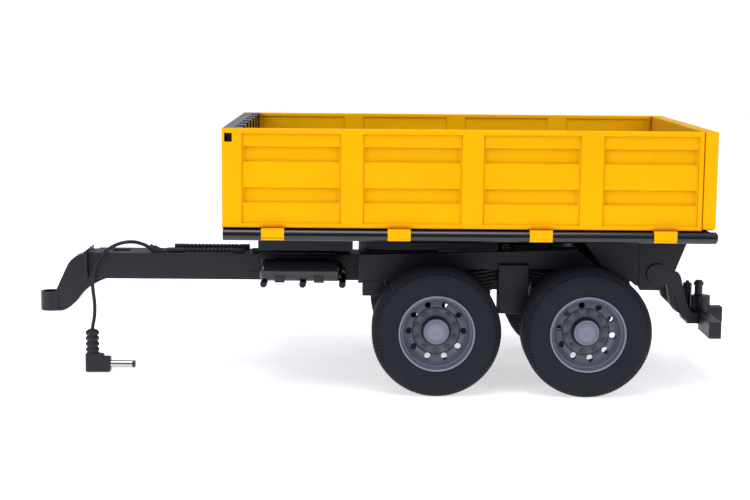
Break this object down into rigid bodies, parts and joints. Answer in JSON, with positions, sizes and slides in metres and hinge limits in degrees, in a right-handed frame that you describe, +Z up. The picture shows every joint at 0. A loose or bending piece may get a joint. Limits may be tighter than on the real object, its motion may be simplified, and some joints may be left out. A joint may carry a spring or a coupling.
{
  "type": "tipping trailer",
  "caption": "Scale-model tandem-axle tipping grain trailer with a yellow drop-side box, towing eye, rear coupling and short low-voltage lift lead.",
  "frame": {"origin": "on the floor under the middle of the trailer, lead left out", "axes": "+X towards the tailgate, +Y towards the right side, +Z up"},
  "size_m": [0.328, 0.1396, 0.12],
  "materials": {
    "box_yellow": "moulded yellow plastic, satin gloss",
    "gloss_black": "glossy black moulded plastic",
    "chassis_black": "satin blue-black moulded plastic",
    "soft_black": "soft dark grey plastic",
    "tyre_rubber": "soft rubber with moulded tread",
    "rim_grey": "dark grey moulded plastic",
    "steel": "bright steel rod",
    "plug_metal": "nickel-plated sleeve"
  },
  "bodies": {
    "chassis": {"drawbar_beam": "chassis_black", "drawbar_end_plate": "chassis_black", "drawbar_eye": "chassis_black", "brake_hose_front": "soft_black", "brake_hose_rear": "soft_black", "supply_hose": "soft_black", "air_tanks": "gloss_black", "tank_straps": "chassis_black", "tank_shelves": "chassis_black", "frame_rails": "chassis_black", "frame_crossmembers": "chassis_black", "side_plate_left": "chassis_black", "side_plate_right": "chassis_black", "leaf_springs": "chassis_black", "spring_hangers": "chassis_black", "spring_brackets": "chassis_black", "axle_beams": "chassis_black", "axle_rods": "steel", "gearbox_case": "chassis_black", "lift_motor": "steel", "lift_pedestals": "chassis_black", "gearbox_screws": "steel", "pivot_shaft": "steel", "hitch_arms": "chassis_black", "hitch_crossbar": "chassis_black", "hitch_head": "chassis_black", "hitch_post": "chassis_black", "cord_gland": "soft_black", "power_cord": "soft_black", "plug_body": "soft_black", "plug_sleeve": "plug_metal", "plug_tip": "gloss_black"},
    "tipper": {"bed_floor": "gloss_black", "bed_rails": "chassis_black", "bed_crossmembers": "chassis_black", "roller_track": "chassis_black", "front_wall": "gloss_black", "hinge_tubes": "gloss_black", "tailgate_rod": "gloss_black", "pivot_brackets": "chassis_black", "pivot_caps": "chassis_black"},
    "side_left": {"side_panel_left": "box_yellow"},
    "side_right": {"side_panel_right": "box_yellow"},
    "rear_gate": {"tailgate": "box_yellow"},
    "lift_arm": {"lift_arm": "rim_grey", "lift_shaft": "steel"},
    "lift_roller": {"lift_roller": "steel"},
    "coupling_pin": {"hitch_pin": "chassis_black"},
    "wheel_front_left": {"tyre_front_left": "tyre_rubber", "rim_front_left": "rim_grey", "hub_cap_front_left": "rim_grey"},
    "wheel_front_right": {"tyre_front_right": "tyre_rubber", "rim_front_right": "rim_grey", "hub_cap_front_right": "rim_grey"},
    "wheel_rear_left": {"tyre_rear_left": "tyre_rubber", "rim_rear_left": "rim_grey", "hub_cap_rear_left": "rim_grey"},
    "wheel_rear_right": {"tyre_rear_right": "tyre_rubber", "rim_rear_right": "rim_grey", "hub_cap_rear_right": "rim_grey"}
  },
  "joints": [
    {"name": "box_tip", "type": "hinge", "parent": "chassis", "child": "tipper", "pos_m": [0.125, 0, 0.0534], "axis": [0, 1, 0], "range_deg": [0, 35]},
    {"name": "side_left_fold", "type": "hinge", "parent": "tipper", "child": "side_left", "pos_m": [0.029, -0.0667, 0.0735], "axis": [1, 0, 0], "range_deg": [0, 120]},
    {"name": "side_right_fold", "type": "hinge", "parent": "tipper", "child": "side_right", "pos_m": [0.029, 0.0667, 0.0735], "axis": [-1, 0, 0], "range_deg": [0, 120]},
    {"name": "tailgate_fold", "type": "hinge", "parent": "tipper", "child": "rear_gate", "pos_m": [0.1428, 0, 0.0735], "axis": [0, 1, 0], "range_deg": [0, 90]},
    {"name": "lift_arm_swing", "type": "hinge", "parent": "chassis", "child": "lift_arm", "pos_m": [0.0585, 0, 0.0612], "axis": [0, 1, 0], "range_deg": [0, 71]},
    {"name": "lift_roller_spin", "type": "hinge", "parent": "lift_arm", "child": "lift_roller", "pos_m": [-0.008, 0, 0.0612], "axis": [0, 1, 0], "continuous": true},
    {"name": "coupling_pin_lift", "type": "slide", "parent": "chassis", "child": "coupling_pin", "axis": [0, 0, 1], "range_m": [0, 0.005]},
    {"name": "wheel_front_left_spin", "type": "hinge", "parent": "chassis", "child": "wheel_front_left", "pos_m": [0.0238, -0.0512, 0.029], "axis": [0, 1, 0], "continuous": true},
    {"name": "wheel_front_right_spin", "type": "hinge", "parent": "chassis", "child": "wheel_front_right", "pos_m": [0.0238, 0.0512, 0.029], "axis": [0, 1, 0], "continuous": true},
    {"name": "wheel_rear_left_spin", "type": "hinge", "parent": "chassis", "child": "wheel_rear_left", "pos_m": [0.0912, -0.0512, 0.029], "axis": [0, 1, 0], "continuous": true},
    {"name": "wheel_rear_right_spin", "type": "hinge", "parent": "chassis", "child": "wheel_rear_right", "pos_m": [0.0912, 0.0512, 0.029], "axis": [0, 1, 0], "continuous": true}
  ],
  "couplings": [
    {"joint": "lift_arm_swing", "follows": "box_tip", "ratio": 2}
  ]
}
